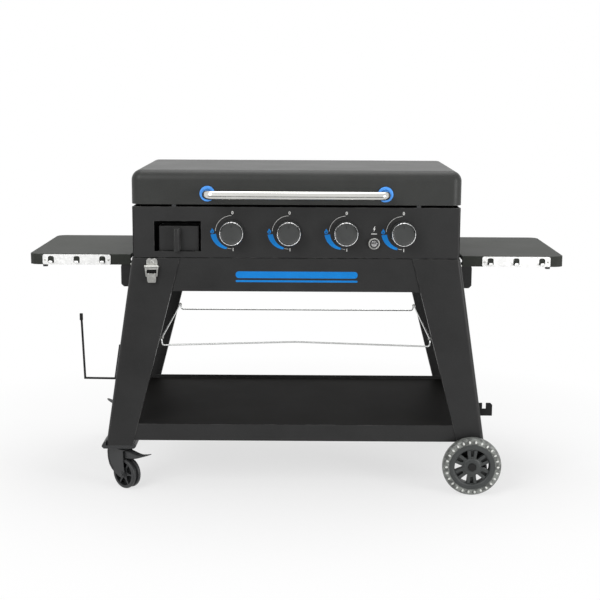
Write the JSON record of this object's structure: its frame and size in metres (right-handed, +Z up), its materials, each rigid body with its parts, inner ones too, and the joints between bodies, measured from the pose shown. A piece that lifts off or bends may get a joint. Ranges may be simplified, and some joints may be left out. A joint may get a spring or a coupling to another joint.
{
  "type": "gas griddle station",
  "caption": "Outdoor gas griddle on a wheeled cart with a hinged lid, folding side shelves, a storage shelf and a wire bag ring.",
  "frame": {"origin": "centre of the overall box on the floor", "axes": "+X to the right seen from the front, +Y from the front to the back, +Z up"},
  "size_m": [1.6214, 0.7105, 0.9684],
  "materials": {
    "powder_coat": "satin",
    "dark_inner": "matt",
    "cooking_steel": "seasoned",
    "stainless": "brushed",
    "zinc": "zinc plated",
    "blue_paint": "gloss",
    "brass_parts": "satin",
    "knob_plastic": "gloss",
    "black_plastic": "matt",
    "wire": "satin",
    "rubber_pads": "matt",
    "tyre_grey": "matt",
    "hub_plastic": "matt"
  },
  "bodies": {
    "cart": {"firebox": "dark_inner", "control_panel": "powder_coat", "burner_shield": "dark_inner", "griddle_plate": "cooking_steel", "burners": "stainless", "gas_manifold": "zinc", "valve_bodies": "brass_parts", "igniter_module": "black_plastic", "tray_runners": "zinc", "body_hinge_leaves": "zinc", "lid_bumpers": "rubber_pads", "latch_strikes": "stainless", "latch_bases": "stainless", "legs": "powder_coat", "aprons": "powder_coat", "side_rails": "powder_coat", "bottom_shelf": "powder_coat", "shelf_brackets": "powder_coat", "shelf_hinge_rods": "zinc", "bag_ring": "wire", "bag_ring_clips": "black_plastic", "towel_holder": "wire", "bottle_hook": "powder_coat", "caster_plates": "powder_coat", "wheel_axles": "zinc"},
    "lid": {"lid_shell": "powder_coat", "lid_handle": "stainless", "handle_bezels": "blue_paint", "lid_hinge_leaves": "zinc"},
    "tray": {"grease_tray": "dark_inner"},
    "button": {"igniter_button": "black_plastic"},
    "lever_front": {"latch_lever_front": "stainless"},
    "claw_front": {"latch_claw_front": "stainless"},
    "lever_rear": {"latch_lever_rear": "stainless"},
    "claw_rear": {"latch_claw_rear": "stainless"},
    "shelf_left": {"side_shelf_left": "powder_coat", "tool_hooks_left": "stainless", "shelf_bumpers_left": "rubber_pads"},
    "shelf_right": {"side_shelf_right": "powder_coat", "tool_hooks_right": "stainless", "shelf_bumpers_right": "rubber_pads"},
    "wheel_front": {"wheel_hub_front": "hub_plastic", "tyre_front": "tyre_grey"},
    "wheel_rear": {"wheel_hub_rear": "hub_plastic", "tyre_rear": "tyre_grey"},
    "swivel_front": {"caster_fork_front": "black_plastic"},
    "roller_front": {"caster_wheel_front": "hub_plastic"},
    "pedal_front": {"caster_brake_front": "black_plastic"},
    "swivel_rear": {"caster_fork_rear": "black_plastic"},
    "roller_rear": {"caster_wheel_rear": "hub_plastic"},
    "pedal_rear": {"caster_brake_rear": "black_plastic"},
    "stem_1": {"valve_stem_1": "zinc"},
    "dial_1": {"knob_1": "knob_plastic"},
    "stem_2": {"valve_stem_2": "zinc"},
    "dial_2": {"knob_2": "knob_plastic"},
    "stem_3": {"valve_stem_3": "zinc"},
    "dial_3": {"knob_3": "knob_plastic"},
    "stem_4": {"valve_stem_4": "zinc"},
    "dial_4": {"knob_4": "knob_plastic"}
  },
  "joints": [
    {"name": "lid_hinge", "type": "hinge", "parent": "cart", "child": "lid", "pos_m": [0, 0.30275, 0.866], "axis": [-1, 0, 0], "range_deg": [0, 100]},
    {"name": "push_1", "type": "slide", "parent": "cart", "child": "stem_1", "axis": [0, 1, 0], "range_m": [0, 0.004], "stiffness_N_per_m": 600, "springref_m": -0.004},
    {"name": "turn_1", "type": "hinge", "parent": "stem_1", "child": "dial_1", "pos_m": [-0.188, -0.30725, 0.788], "axis": [0, -1, 0], "range_deg": [0, 180]},
    {"name": "push_2", "type": "slide", "parent": "cart", "child": "stem_2", "axis": [0, 1, 0], "range_m": [0, 0.004], "stiffness_N_per_m": 600, "springref_m": -0.004},
    {"name": "turn_2", "type": "hinge", "parent": "stem_2", "child": "dial_2", "pos_m": [-0.0213, -0.30725, 0.788], "axis": [0, -1, 0], "range_deg": [0, 180]},
    {"name": "push_3", "type": "slide", "parent": "cart", "child": "stem_3", "axis": [0, 1, 0], "range_m": [0, 0.004], "stiffness_N_per_m": 600, "springref_m": -0.004},
    {"name": "turn_3", "type": "hinge", "parent": "stem_3", "child": "dial_3", "pos_m": [0.1454, -0.30725, 0.788], "axis": [0, -1, 0], "range_deg": [0, 180]},
    {"name": "push_4", "type": "slide", "parent": "cart", "child": "stem_4", "axis": [0, 1, 0], "range_m": [0, 0.004], "stiffness_N_per_m": 600, "springref_m": -0.004},
    {"name": "turn_4", "type": "hinge", "parent": "stem_4", "child": "dial_4", "pos_m": [0.3121, -0.30725, 0.788], "axis": [0, -1, 0], "range_deg": [0, 180]},
    {"name": "igniter_press", "type": "slide", "parent": "cart", "child": "button", "axis": [0, 1, 0], "range_m": [0, 0.003], "stiffness_N_per_m": 500, "springref_m": -0.003},
    {"name": "tray_pull", "type": "slide", "parent": "cart", "child": "tray", "axis": [0, -1, 0], "range_m": [0, 0.085]},
    {"name": "lever_front_turn", "type": "hinge", "parent": "cart", "child": "lever_front", "pos_m": [-0.424, -0.28925, 0.672], "axis": [-1, 0, 0], "range_deg": [0, 80]},
    {"name": "claw_front_turn", "type": "hinge", "parent": "lever_front", "child": "claw_front", "pos_m": [-0.424, -0.29145, 0.664], "axis": [-1, 0, 0], "range_deg": [-64, 0]},
    {"name": "lever_rear_turn", "type": "hinge", "parent": "cart", "child": "lever_rear", "pos_m": [0.424, 0.31975, 0.672], "axis": [1, 0, 0], "range_deg": [0, 80]},
    {"name": "claw_rear_turn", "type": "hinge", "parent": "lever_rear", "child": "claw_rear", "pos_m": [0.424, 0.32195, 0.664], "axis": [1, 0, 0], "range_deg": [-64, 0]},
    {"name": "shelf_left_fold", "type": "hinge", "parent": "cart", "child": "shelf_left", "pos_m": [-0.516, 0.06025, 0.689], "axis": [0, -1, 0], "range_deg": [0, 78]},
    {"name": "shelf_right_fold", "type": "hinge", "parent": "cart", "child": "shelf_right", "pos_m": [0.516, 0.06025, 0.689], "axis": [0, 1, 0], "range_deg": [0, 78]},
    {"name": "wheel_front_spin", "type": "hinge", "parent": "cart", "child": "wheel_front", "pos_m": [0.53, -0.30625, 0.0888], "axis": [0, 1, 0], "continuous": true},
    {"name": "wheel_rear_spin", "type": "hinge", "parent": "cart", "child": "wheel_rear", "pos_m": [0.53, 0.33675, 0.0888], "axis": [0, 1, 0], "continuous": true},
    {"name": "caster_front_swivel", "type": "hinge", "parent": "cart", "child": "swivel_front", "pos_m": [-0.538, -0.23825, 0.125], "axis": [0, 0, 1], "continuous": true},
    {"name": "caster_front_roll", "type": "hinge", "parent": "swivel_front", "child": "roller_front", "pos_m": [-0.51313, -0.25839, 0.046], "axis": [0.6293, 0.7771, 0], "continuous": true},
    {"name": "pedal_front_press", "type": "hinge", "parent": "swivel_front", "child": "pedal_front", "pos_m": [-0.51469, -0.25713, 0.1104], "axis": [0.6293, 0.7771, 0], "range_deg": [0, 12]},
    {"name": "caster_rear_swivel", "type": "hinge", "parent": "cart", "child": "swivel_rear", "pos_m": [-0.538, 0.26875, 0.125], "axis": [0, 0, 1], "continuous": true},
    {"name": "caster_rear_roll", "type": "hinge", "parent": "swivel_rear", "child": "roller_rear", "pos_m": [-0.567, 0.28227, 0.046], "axis": [-0.4226, -0.9063, 0], "continuous": true},
    {"name": "pedal_rear_press", "type": "hinge", "parent": "swivel_rear", "child": "pedal_rear", "pos_m": [-0.56519, 0.28143, 0.1104], "axis": [-0.4226, -0.9063, 0], "range_deg": [0, 12]}
  ],
  "couplings": [
    {"joint": "claw_front_turn", "follows": "lever_front_turn", "ratio": -0.8},
    {"joint": "claw_rear_turn", "follows": "lever_rear_turn", "ratio": -0.8}
  ]
}
